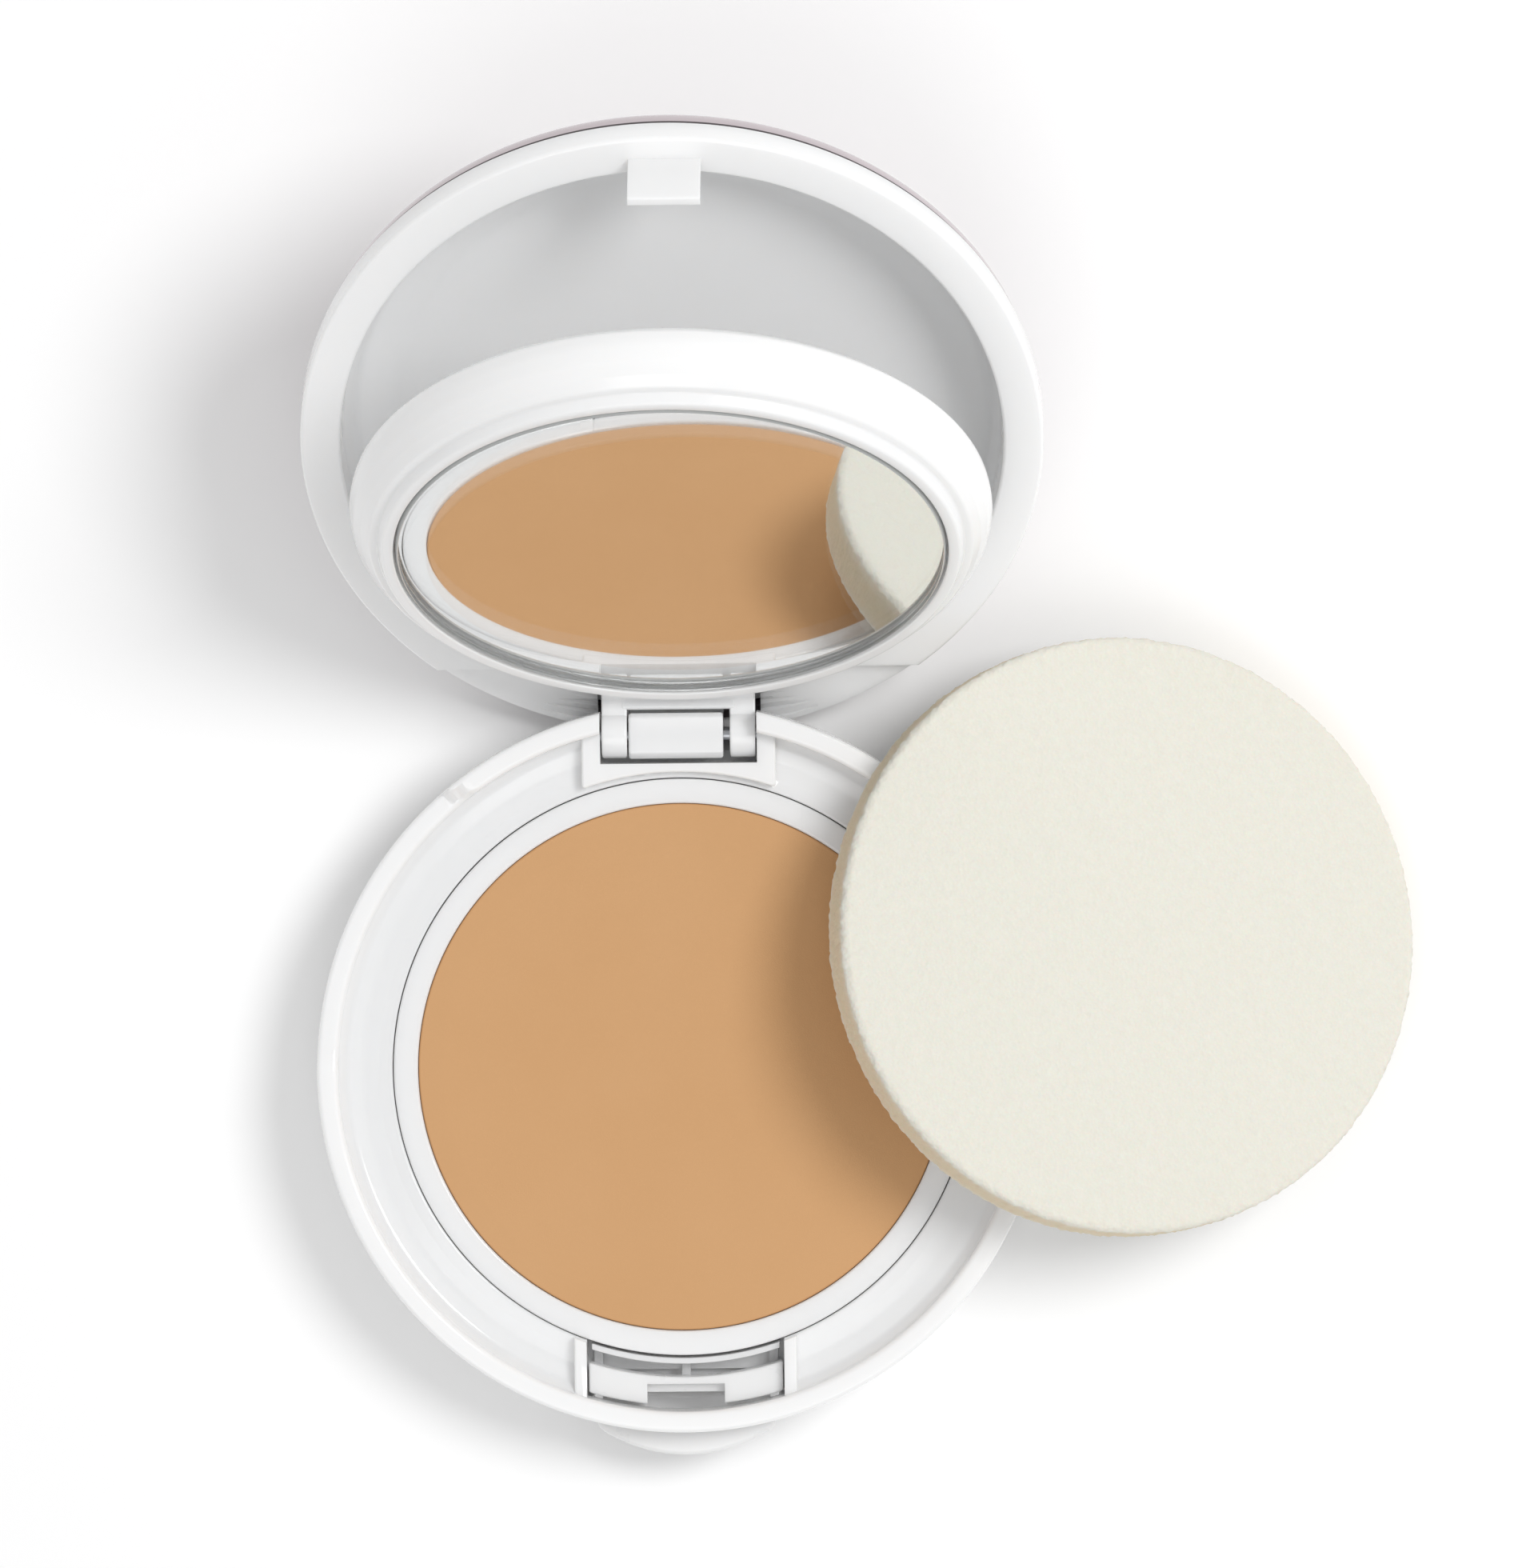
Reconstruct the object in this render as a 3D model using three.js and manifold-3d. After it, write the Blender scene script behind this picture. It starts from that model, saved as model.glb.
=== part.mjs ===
// Round make-up compact: base with pan and latch, mirror flap, domed lid and a loose sponge.
// Millimetres, +Z up, +Y towards the hinge. The origin is the centre of the underside.
import * as THREE from 'three';
import { mergeVertices } from 'three/addons/utils/BufferGeometryUtils.js';
import Module from 'manifold-3d';

const wasm = await Module();
wasm.setup();

// ---------------------------------------------------------------- driving sizes
const caseRadius = 38;          // base and lid outside
const baseHeight = 12.2;        // underside to rim top
const pinInset = 3.4;           // hinge pin inside the case's rear edge
const pinDrop = 3.2;            // pin below the rim top
const lidOpen = 144.8;          // degrees from shut
const flapOpen = 122.0;         // degrees from shut
const ringRadius = 29.8;        // outside of the pan holder
const ringWidth = 2.5;          // pan holder's visible rim
const spongeRadius = 31.0;
const spongeThickness = 5.6;

const rimWidth = 2.1;
const rimDepth = 2.2;           // rim top to ring top
const rimRaise = 1.1;           // extra height of the rim beside the hinge
const rimDip = 0.5;             // lowered spans of the rim on both sides
const wall = 1.2;               // moulded wall
const floorWall = 1.4;
const seam = 0.3;               // gap where mouldings meet
const fitGap = 0.25;            // gap round a piece that drops into another
const shutGap = 0.2;            // rim to lid when shut

const lidWall = 2.8;            // straight side wall of the lid
const lidRimWidth = 4.1;
const bowlDepth = 6.4;          // lid rim face to ceiling
const coverRise = 7.2;          // dome height of the outer cover
const coverPower = 2.8;         // squareness of the dome's section
const coverWall = 1.0;
const coverInset = 0.3;         // cover edge inside the lid's wall

const glassThickness = 1.8;
const silverThickness = 0.15;
const tapeThickness = 0.3;
const mirrorClear = 0.5;        // shut mirror above the pan holder
const flapInset = 5.35;         // widest part of the flap inside the case's edge
const mirrorBorder = 4.8;       // mirror edge inside the flap's widest part
const lipBorder = 3.35;         // raised lip's edge, the same way
const flapDepth = 7.5;          // mirror face to back edge
const flapBulge = 5.6;          // mirror face to the widest part
const flapShift = 0.6;          // flap centre towards the hinge when shut

const pinRadius = 0.6;
const pinLength = 19.6;
const pinClear = 0.1;
const earRadius = 2.35;
const pocketHalf = 8.15;        // half width of the hinge pocket
const earWidth = 2.55;
const earSide = 0.25;           // ear to pocket wall
const knuckleWidth = 9.7;
const knuckleShift = -0.15;     // the knuckle sits against the left ear
const pocketClear = 0.5;        // pocket wall and floor beyond the ears
const blockHalf = 10.1;
const lidNotch = 7.1;           // radius cleared round the pin in the lid's rear wall
const notchWide = 8.5;          // half width of that clearance
const sweepGap = 0.3;           // lid's rear wall to the case as it swings past
const sweepAngles = [12, 24, 36, 48, 109, 127]; // degrees of opening where the swing is cleared
const sweepHalf = 14.5;

const latchHalf = 10.3;         // half width of the latch opening
const latchRib = 1.3;
const barInset = 2.6;           // button bar inside the case's edge
const barWidth = 3.0;
const barHeight = 2.6;
const notchHalf = 4.05;
const hookWidth = 7.3;
const hookThickness = 0.9;
const hookLength = 6.9;
const hookInset = 3.4;          // inner face of the catch hook, from the case's edge
const barb = 0.35;
const barbHeight = 1.1;
const catchClear = 0.2;
const buttonTravel = 1.0;
const padRadius = 16.2;
const padOut = 2.8;             // thumb pad in front of the case
const padStem = 2.2;            // thickness of the arms that carry the pad
const padHalf = 9.25;
const padHeight = 5.0;

const labelRadius = 22;
const labelThickness = 0.3;

// ---------------------------------------------------------------- worked-out places
const rimInner = caseRadius - rimWidth;
const pinBack = caseRadius - pinInset;
const makeupRadius = ringRadius - ringWidth;
const lidRimInner = caseRadius - lidRimWidth;
const flapRadius = caseRadius - flapInset;
const mirrorRadius = flapRadius - mirrorBorder;
const lipRadius = flapRadius - lipBorder;
const barOuter = caseRadius - barInset;
const barInner = barOuter - barWidth;
const hookRadius = caseRadius - hookInset;
const ringTop = baseHeight - rimDepth;
const pinZ = baseHeight - pinDrop;
const lidPlane = baseHeight + shutGap;
const mirrorZ = ringTop + mirrorClear;
const seamZ = baseHeight - rimWidth - 0.7;
const wellRadius = ringRadius + 0.4;
const wellFloor = ringTop - 5.6;
const holderFloor = wellFloor + fitGap;
const panFloor = holderFloor + 0.8 + tapeThickness + 0.1;
const makeupTop = ringTop - fitGap;
const blockTop = mirrorZ + 0.8;
const pocketFloor = pinZ - earRadius - pocketClear + 0.15;
const pocketFront = pinBack - earRadius - pocketClear;
const barTop = ringTop - 0.1;
const barBottom = barTop - barHeight;
const hookTip = lidPlane - hookLength;
const armTop = barBottom + 0.3;                 // arms of the latch button
const latchFloor = Math.min(hookTip, armTop - padStem) - 0.4;
const lipEdge = hookRadius - barb - catchClear;
const foot = caseRadius - 8.5;                  // edge of the flat underside
const padMiddle = barBottom - 1.9;              // thumb pad's mid height
const silverZ = mirrorZ + glassThickness + 0.1;
const tapeZ = silverZ + silverThickness + 0.1;
const tapeFloor = holderFloor + 0.85;           // under the pan

const roundSteps = 48;
const deg = Math.PI / 180;

// ---------------------------------------------------------------- helpers
function solid(geometry) {
  const bare = geometry.index ? geometry : mergeVertices(geometry);
  for (const name of ['normal', 'uv']) bare.deleteAttribute(name);
  const merged = mergeVertices(bare, 1e-4);
  const points = merged.attributes.position.array;
  const faces = [];
  let volume = 0;
  const corner = (i) => new THREE.Vector3().fromArray(points, 3 * i);
  for (let i = 0; i < merged.index.count; i += 3) {
    const [a, b, c] = [0, 1, 2].map((k) => merged.index.getX(i + k));
    if (a === b || b === c || a === c) continue;
    faces.push(a, b, c);
    volume += corner(a).dot(corner(b).cross(corner(c)));
  }
  if (volume < 0) faces.reverse();
  return new wasm.Manifold(new wasm.Mesh({
    numProp: 3,
    vertProperties: new Float32Array(points),
    triVerts: new Uint32Array(faces),
  }));
}

function geometryOf(body) {
  const mesh = body.getMesh();
  const geometry = new THREE.BufferGeometry();
  geometry.setAttribute('position', new THREE.BufferAttribute(mesh.vertProperties, 3));
  geometry.setIndex(new THREE.BufferAttribute(mesh.triVerts, 1));
  geometry.computeVertexNormals();
  return geometry;
}

// Body of revolution about Z from [radius, height] pairs, moved back along Y.
function turned(profile, steps = roundSteps, back = 0) {
  const points = profile.map(([r, z]) => new THREE.Vector2(r, z));
  const onAxis = profile[0][0] === 0 && profile[profile.length - 1][0] === 0;
  if (!onAxis) points.push(points[0].clone());
  return solid(new THREE.LatheGeometry(points, steps).rotateX(Math.PI / 2).translate(0, back, 0));
}

const disc = (radius, low, high, back) =>
  turned([[0, low], [radius, low], [radius, high], [0, high]], roundSteps, back);

const ring = (inner, outer, low, high) =>
  turned([[inner, low], [outer, low], [outer, high], [inner, high]]);

function box(x, y, z) {
  const geometry = new THREE.BoxGeometry(x[1] - x[0], y[1] - y[0], z[1] - z[0]);
  return solid(geometry.translate((x[0] + x[1]) / 2, (y[0] + y[1]) / 2, (z[0] + z[1]) / 2));
}

// Outline of [y, z] pairs, run along X between two places.
function bar(outline, x) {
  const shape = new THREE.Shape(outline.map(([y, z]) => new THREE.Vector2(y, z)));
  const geometry = new THREE.ExtrudeGeometry(shape, { depth: x[1] - x[0], bevelEnabled: false });
  const turn = new THREE.Matrix4().makeBasis(
    new THREE.Vector3(0, 1, 0), new THREE.Vector3(0, 0, 1), new THREE.Vector3(1, 0, 0));
  return solid(geometry.applyMatrix4(turn).translate(x[0], 0, 0));
}

// Outline of [x, y] pairs, run up between two heights.
function slab(outline, z) {
  const shape = new THREE.Shape(outline.map(([x, y]) => new THREE.Vector2(x, y)));
  const geometry = new THREE.ExtrudeGeometry(shape, { depth: z[1] - z[0], bevelEnabled: false });
  return solid(geometry.translate(0, 0, z[0]));
}

function aboutPin(radius, x, steps = 24) {
  const circle = [];
  for (let i = 0; i < steps; i++) {
    const angle = (i * 360 / steps) * deg;
    circle.push([pinBack + radius * Math.cos(angle), pinZ + radius * Math.sin(angle)]);
  }
  return bar(circle, x);
}

const pinHole = () => aboutPin(pinRadius + pinClear, [-caseRadius / 3, caseRadius / 3], 20);

// Sector of a ring between two angles measured from +X, in degrees.
function sector(inner, outer, from, to, z, steps = 12) {
  const outline = [];
  const put = (radius, angle) => outline.push([radius * Math.cos(angle * deg), radius * Math.sin(angle * deg)]);
  for (let i = 0; i <= steps; i++) put(outer, from + (to - from) * i / steps);
  for (let i = steps; i >= 0; i--) put(inner, from + (to - from) * i / steps);
  return slab(outline, z);
}

const both = (make) => make(1).add(make(-1));
const span = (side, near, far) => (side > 0 ? [near, far] : [-far, -near]);

function piece(name, body, color, roughness, metalness = 0) {
  const material = new THREE.MeshStandardMaterial({ color, roughness, metalness });
  const mesh = new THREE.Mesh(geometryOf(body), material);
  mesh.name = name;
  return mesh;
}

// ---------------------------------------------------------------- base
const rearCut = (low) => box([-pocketHalf, pocketHalf], [pocketFront, caseRadius + 4], [low, baseHeight + 4]);

// Sloped slot behind the pin where the lid's arm comes down as the lid opens.
function armSlot() {
  const half = knuckleWidth / 2 + 0.4;
  return bar([
    [pocketFront, pocketFloor + 0.01], [pinBack + 0.4, floorWall + 0.2], [caseRadius + 4, floorWall + 0.2],
    [caseRadius + 4, baseHeight + 4], [pocketFront, baseHeight + 4],
  ], [-half, half]);
}

const buttonWindow = () => box([-padHalf - 0.4, padHalf + 0.4], [-caseRadius - 4, -rimInner + 2.2],
  [padMiddle - padHeight / 2 - 0.3, barBottom + 1.2]);

// Inside of the lower bowl from the axis out and up, moved inwards by a gap.
function cavityLine(gap) {
  return [
    [0, floorWall + gap], [foot - 1.5, floorWall + gap], [caseRadius - 4.1 - wall - gap, floorWall + 0.6 + gap],
    [caseRadius - 1.9 - wall - gap, 4.0], [caseRadius - 0.5 - wall - gap, 6.4], [caseRadius - wall - gap, seamZ],
  ];
}

// Everything that fits inside the bowl with a gap, up to the rim.
function insideBowl(gap) {
  const top = baseHeight + 2;
  return turned([...cavityLine(gap), [caseRadius - wall - gap, top], [0, top]]);
}

function baseShell() {
  const bowl = turned([
    [0, labelThickness + 0.1], [labelRadius + fitGap, labelThickness + 0.1], [labelRadius + fitGap, 0], [foot, 0],
    [caseRadius - 5.6, 0.7], [caseRadius - 3.4, 2.0], [caseRadius - 1.6, 4.0],
    [caseRadius - 0.5, 6.4], [caseRadius, seamZ],
    ...cavityLine(0).reverse(),
  ]);
  return bowl.subtract(rearCut(pocketFloor)).subtract(armSlot()).subtract(buttonWindow());
}

function hingeBlock() {
  const body = box([-blockHalf, blockHalf], [ringRadius - 2, caseRadius], [wellFloor - wall + 0.4, blockTop]);
  return body.intersect(insideBowl(seam)).subtract(disc(wellRadius + 0.3, 0, baseHeight));
}

function latchWell() {
  const outerX = latchHalf + latchRib;
  const body = box([-outerX, outerX], [-caseRadius, -ringRadius + 3], [latchFloor - wall, ringTop + 1.1]);
  return body.intersect(insideBowl(seam)).subtract(disc(wellRadius + 0.2, 0, baseHeight));
}

function baseTray() {
  const skirt = caseRadius - 0.5 - wall - seam;
  const deckUnder = ringTop - wall - 0.2;
  let tray = turned([
    [0, wellFloor - wall], [wellRadius + wall, wellFloor - wall], [wellRadius + wall, deckUnder],
    [skirt - 0.9, deckUnder], [skirt - 0.8, seamZ - 2.4], [skirt, seamZ - 2.4], [skirt, seamZ + seam],
    [caseRadius, seamZ + seam], [caseRadius, baseHeight - 0.4], [caseRadius - 0.4, baseHeight],
    [rimInner + 0.3, baseHeight], [rimInner, baseHeight - 0.3], [rimInner - 0.1, baseHeight - 1.1],
    [rimInner - 0.6, baseHeight - 1.9], [rimInner - 1.6, ringTop - 0.1], [rimInner - 3.2, ringTop - 0.35],
    [wellRadius + 1.0, ringTop - 0.2], [wellRadius, ringTop],
    [wellRadius, wellFloor], [0, wellFloor],
  ]);
  const raised = ring(rimInner, caseRadius, baseHeight - 0.4, baseHeight + rimRaise)
    .intersect(aboutPin(lidNotch - seam, [-caseRadius, caseRadius], 48));
  const dip = (side) => sector(rimInner - 1, caseRadius + 1, side > 0 ? 2 : 128, side > 0 ? 52 : 178,
    [baseHeight - rimDip, baseHeight + 1]);
  tray = tray.subtract(both(dip)).add(raised).add(hingeBlock()).add(latchWell());
  const deckCut = box([-latchHalf, latchHalf], [-caseRadius, -ringRadius + 3], [latchFloor, baseHeight - 0.01])
    .intersect(ring(wellRadius - 0.01, rimInner, 0, baseHeight + 1));
  tray = tray.subtract(rearCut(pocketFloor)).subtract(armSlot()).subtract(deckCut).subtract(buttonWindow());
  return tray.subtract(pinHole());
}

function panHolder() {
  const cup = makeupRadius + fitGap;
  return turned([
    [0, holderFloor], [ringRadius - 0.3, holderFloor], [ringRadius, holderFloor + 0.3],
    [ringRadius, ringTop - 0.2], [ringRadius - 0.2, ringTop], [cup + 0.2, ringTop], [cup, ringTop - 0.2],
    [cup, holderFloor + 0.8], [0, holderFloor + 0.8],
  ]);
}

function makeupPan() {
  const sheet = 0.35;
  const outer = makeupRadius;
  return turned([
    [0, panFloor], [outer - 0.5, panFloor], [outer, panFloor + 0.5], [outer, makeupTop - 0.7],
    [outer - sheet, makeupTop - 0.7], [outer - sheet, panFloor + 0.6],
    [outer - 0.6, panFloor + sheet], [0, panFloor + sheet],
  ]);
}

function makeupCake() {
  const inside = makeupRadius - 0.35 - 0.1;
  const low = panFloor + 0.35 + 0.1;
  return turned([
    [0, low], [inside - 0.3, low], [inside, low + 0.3], [inside, makeupTop - 0.6],
    [makeupRadius, makeupTop - 0.6], [makeupRadius, makeupTop - 0.3], [makeupRadius - 0.4, makeupTop - 0.05],
    [makeupRadius - 2, makeupTop], [0, makeupTop + 0.1],
  ]);
}

const panAdhesive = () => disc(makeupRadius - 4, tapeFloor, tapeFloor + tapeThickness);

const hingePin = () => aboutPin(pinRadius, [-pinLength / 2, pinLength / 2], 16);

const baseLabel = () => disc(labelRadius, 0, labelThickness);

// ---------------------------------------------------------------- latch
function latchButton() {
  const archBar = ring(barInner, barOuter, barBottom, barTop)
    .intersect(box([-latchHalf + fitGap, latchHalf - fitGap], [-caseRadius, 0], [0, baseHeight]));
  const arms = both((side) => box(span(side, notchHalf + 0.2, padHalf - 0.5),
    [-caseRadius + 0.6, -barInner - 0.8], [armTop - padStem + 0.3, armTop]));
  const centreY = padRadius - caseRadius - padOut;
  const outline = [];
  const reach = Math.asin(padHalf / padRadius);
  for (let i = 0; i <= 16; i++) {
    const angle = -Math.PI / 2 - reach + 2 * reach * i / 16;
    outline.push([padRadius * Math.cos(angle), centreY + padRadius * Math.sin(angle)]);
  }
  const padBack = -(hookRadius + hookThickness + buttonTravel + fitGap);
  outline.push([padHalf, padBack], [-padHalf, padBack]);
  const pad = slab(outline, [padMiddle - padHeight / 2, padMiddle + padHeight / 2]);
  const notch = box([-notchHalf, notchHalf], [-caseRadius, -barInner - 0.7], [barTop - 1.3, baseHeight]);
  const hookSlot = box([-notchHalf, notchHalf], [padBack, -lipEdge], [0, baseHeight]);
  return archBar.add(arms).add(pad).subtract(notch).subtract(hookSlot);
}

function buttonSpring() {
  const low = latchFloor + 1.3;
  const leaf = ring(wellRadius + 0.25, wellRadius + 0.85, low, ringTop - 0.6)
    .intersect(box([-latchHalf + 0.5, latchHalf - 0.5], [-caseRadius, 0], [0, baseHeight]));
  const rib = box([-0.45, 0.45], [-barInner - 0.6, -wellRadius - 0.5], [low, barBottom - 0.3]);
  return leaf.add(rib);
}

// ---------------------------------------------------------------- lid, modelled shut
const coverBase = lidPlane + lidWall + seam;
const coverRadius = caseRadius - coverInset;

// Dome section: height over the cover's edge at a radius, for a dome shrunk by an offset.
function dome(radius, offset) {
  const share = Math.min(1, radius / (coverRadius - offset));
  return coverBase + (coverRise - offset) * (1 - share ** coverPower) ** (1 / coverPower);
}

function domeLine(offset, steps = 10) {
  const line = [];
  for (let i = 0; i <= steps; i++) {
    const radius = (coverRadius - offset) * Math.sin((i / steps) * 90 * deg) ** 0.8;
    line.push([radius, dome(radius, offset)]);
  }
  return line;
}

const lidCover = () => turned([...domeLine(0), ...domeLine(coverWall).reverse()]);

// Rear of the case as the lid's frame sees it once the lid has opened by an angle.
function caseFromLid(angle) {
  const g = sweepGap;
  const rimTop = baseHeight + rimRaise + g;
  const bowl = turned([
    [0, -g], [foot, -g], [caseRadius - 5.6 + g, 0.7 - g], [caseRadius - 3.4 + g, 2.0 - g],
    [caseRadius - 1.6 + g, 4.0 - g], [caseRadius - 0.5 + g, 6.4 - g], [caseRadius + g, seamZ - g],
    [caseRadius + g, rimTop], [rimInner - g, rimTop], [rimInner - g, lidPlane - 0.05], [0, lidPlane - 0.05],
  ]).intersect(box([-sweepHalf, sweepHalf], [pinBack - 8, caseRadius + 2], [-1, rimTop]));
  return solid(geometryOf(bowl).translate(0, -pinBack, -pinZ).rotateX(angle * deg).translate(0, pinBack, pinZ));
}

function lidInner() {
  const under = coverWall + seam;
  const ceiling = lidPlane + bowlDepth;
  const shell = turned([
    ...domeLine(under).slice(0, -2),
    [coverRadius - under, coverBase - seam], [caseRadius, coverBase - seam],
    [caseRadius, lidPlane + 0.4], [caseRadius - 0.4, lidPlane],
    [lidRimInner + 0.3, lidPlane], [lidRimInner, lidPlane + 0.3], [lidRimInner - 0.1, ceiling - 3.2],
    [lidRimInner - 0.5, ceiling - 1.7], [lidRimInner - 1.6, ceiling - 0.6], [lidRimInner - 3.2, ceiling - 0.1],
    [lidRimInner - 6, ceiling], [0, ceiling],
  ]);
  const shallow = aboutPin(lidNotch, [-caseRadius, caseRadius], 48)
    .intersect(box([-caseRadius, caseRadius], [0, caseRadius + 4], [0, baseHeight + rimRaise + seam]));
  let notched = shell.subtract(shallow).subtract(aboutPin(lidNotch, [-notchWide, notchWide], 48));
  for (const angle of [...sweepAngles, lidOpen]) notched = notched.subtract(caseFromLid(angle));
  return notched.add(hingeArm()).add(catchHook()).subtract(pinHole());
}

// Centre knuckle with a flat that faces up when the lid is open, and the arm to the lid's wall.
function hingeArm() {
  const x = [knuckleShift - knuckleWidth / 2, knuckleShift + knuckleWidth / 2];
  const open = [
    [-2.4, -0.8], [-2.4, 0.8], [-1.75, 1.65], [1.9, 1.65], [2.35, 0.7], [2.2, -1.1], [0.9, -2.3], [-1.2, -2.1],
  ];
  const cos = Math.cos(lidOpen * deg);
  const sin = Math.sin(lidOpen * deg);
  const shut = open.map(([y, z]) => [pinBack + y * cos - z * sin, pinZ + y * sin + z * cos]);
  const arm = bar([
    [pinBack - 0.2, pinZ + 1], [pinBack + 2.3, pinZ], [pinBack + 2.3, lidPlane + lidWall - 0.1],
    [pinBack + 1.2, lidPlane + lidWall + 0.9], [pinBack - 0.2, lidPlane + lidWall + 1.5],
  ], x);
  return bar(shut, x).add(arm);
}

function catchHook() {
  const half = hookWidth / 2;
  return bar([
    [-hookRadius - hookThickness, lidPlane + 0.5], [-hookRadius - hookThickness, hookTip],
    [-hookRadius, hookTip], [-hookRadius + barb, hookTip + 0.5], [-hookRadius + barb, hookTip + barbHeight],
    [-hookRadius, hookTip + barbHeight + 0.1], [-hookRadius, lidPlane + 0.5],
  ], [-half, half]);
}

// ---------------------------------------------------------------- mirror flap, modelled shut
function flapFrame() {
  const seat = mirrorRadius + fitGap;
  const seatDepth = glassThickness + silverThickness + tapeThickness + 3 * 0.15;
  const trayFloor = seatDepth + wall;
  const back = mirrorZ + flapDepth;
  const at = (depth) => mirrorZ + depth;
  const frame = turned([
    [0, at(seatDepth)], [seat, at(seatDepth)], [seat, at(0.2)], [seat + 0.2, at(0)],
    [lipRadius - 0.4, at(0)], [lipRadius, at(0.35)], [lipRadius + 0.8, at(1.15)], [lipRadius + 1.1, at(1.2)],
    [lipRadius + 1.9, at(1.9)], [flapRadius - 0.55, at(3.2)], [flapRadius - 0.12, at(4.4)],
    [flapRadius, at(flapBulge)], [flapRadius - 0.3, at(flapBulge + 1.0)],
    [flapRadius - 1.1, back - 0.2], [flapRadius - 1.7, back], [flapRadius - 2.0, back - 0.2],
    [flapRadius - 2.1, at(trayFloor + 1.2)], [flapRadius - 2.9, at(trayFloor + 0.2)],
    [flapRadius - 4.2, at(trayFloor)], [0, at(trayFloor)],
  ], roundSteps, flapShift);
  return frame.add(flapEars()).subtract(pinHole());
}

// Two ears round the pin and the plate that joins them to the flap's edge.
function flapEars() {
  const near = pocketHalf - earSide - earWidth;
  const neck = [[-5.0, 2.9], [-2.6, 2.8], [-1.9, 1.2], [2.2, 0.5], [0.9, 2.2], [-1.6, 6.1], [-3.4, 6.1]];
  const plate = [[-4.9, 2.9], [-2.6, 2.8], [-2.45, 1.95], [-1.95, 1.9], [-1.75, 2.3], [-2.6, 4.7], [-4.2, 4.7]];
  const placed = (outline) => outline.map(([y, z]) => [pinBack + y, pinZ + z]);
  const ears = both((side) => {
    const x = span(side, near, near + earWidth);
    return aboutPin(earRadius, x).add(bar(placed(neck), x));
  });
  return ears.add(bar(placed(plate), [-near - 0.5, near + 0.5]));
}

const mirrorGlass = () => disc(mirrorRadius, mirrorZ + 0.05, mirrorZ + glassThickness, flapShift);
const mirrorSilver = () => disc(mirrorRadius - 0.15, silverZ, silverZ + silverThickness, flapShift);
const mirrorTape = () => disc(mirrorRadius - 3, tapeZ, tapeZ + tapeThickness, flapShift);

// ---------------------------------------------------------------- sponge
function sponge() {
  const half = spongeThickness / 2;
  const edge = 1.1;
  return turned([
    [0, -half], [spongeRadius - edge, -half], [spongeRadius - 0.3, -half + 0.35], [spongeRadius, -half + edge],
    [spongeRadius, half - edge], [spongeRadius - 0.3, half - 0.35], [spongeRadius - edge, half], [0, half],
  ]);
}

// The sponge leans on the rim at one side and stands on the table at the other.
const spongeHeading = 30 * deg;          // from +X, the way down the slope
const spongeAcross = -11.4;              // sponge centre off the line of slope
const spongeAlong = caseRadius + 8.4;    // sponge centre along the slope, from the case centre
const leanGap = 0.65;

function spongeTilt() {
  const rise = baseHeight - rimDip + leanGap;
  let tilt = 0.2;
  for (let i = 0; i < 20; i++) {
    const far = spongeAlong + spongeRadius * Math.cos(tilt) - (spongeThickness / 2) * Math.sin(tilt);
    tilt = Math.atan2(rise, far - caseRadius);
  }
  return tilt;
}

// ---------------------------------------------------------------- assembly
const pearlWhite = 0xf1f1f0;
const object = new THREE.Group();

object.add(
  piece('base_shell', baseShell(), pearlWhite, 0.25),
  piece('base_tray', baseTray(), pearlWhite, 0.25),
  piece('pan_holder', panHolder(), pearlWhite, 0.3),
  piece('makeup_pan', makeupPan(), 0xc9ccce, 0.35, 0.9),
  piece('pan_adhesive', panAdhesive(), 0xe9e4d2, 0.6),
  piece('makeup_cake', makeupCake(), 0xcda277, 0.7),
  piece('hinge_pin', hingePin(), 0xb9bcc0, 0.3, 1),
  piece('base_label', baseLabel(), 0xe4e4e6, 0.6),
  piece('button_spring', buttonSpring(), pearlWhite, 0.3),
  piece('latch_button', latchButton(), pearlWhite, 0.25),
);

// A group turned open about the hinge pin; its pieces are modelled shut, in case coordinates.
function hinged(angle, pieces) {
  const group = new THREE.Group();
  group.position.set(0, pinBack, pinZ);
  group.rotation.x = -angle * deg;
  for (const mesh of pieces) {
    mesh.position.set(0, -pinBack, -pinZ);
    group.add(mesh);
  }
  return group;
}

object.add(hinged(lidOpen, [
  piece('lid_inner', lidInner(), pearlWhite, 0.25),
  piece('lid_cover', lidCover(), 0xcfc8cc, 0.3),
]));
object.add(hinged(flapOpen, [
  piece('flap_frame', flapFrame(), pearlWhite, 0.25),
  piece('mirror_glass', mirrorGlass(), 0xdfe8ea, 0.02),
  piece('mirror_silver', mirrorSilver(), 0xe8e8e8, 0.03, 1),
  piece('mirror_tape', mirrorTape(), 0xdedede, 0.6),
]));

const tilt = spongeTilt();
const spongeMesh = piece('sponge', sponge(), 0xf0efe6, 0.95);
spongeMesh.rotation.y = tilt;
const farEdge = spongeAlong + spongeRadius * Math.cos(tilt) - (spongeThickness / 2) * Math.sin(tilt);
spongeMesh.position.set(spongeAlong, spongeAcross,
  (farEdge - spongeAlong) * Math.tan(tilt) + (spongeThickness / 2) / Math.cos(tilt) + leanGap / 2);
const spongeGroup = new THREE.Group();
spongeGroup.rotation.z = spongeHeading;
spongeGroup.add(spongeMesh);
object.add(spongeGroup);

export default object;
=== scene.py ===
import math

import bmesh
import bpy
from mathutils import Matrix, Vector, noise


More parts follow.
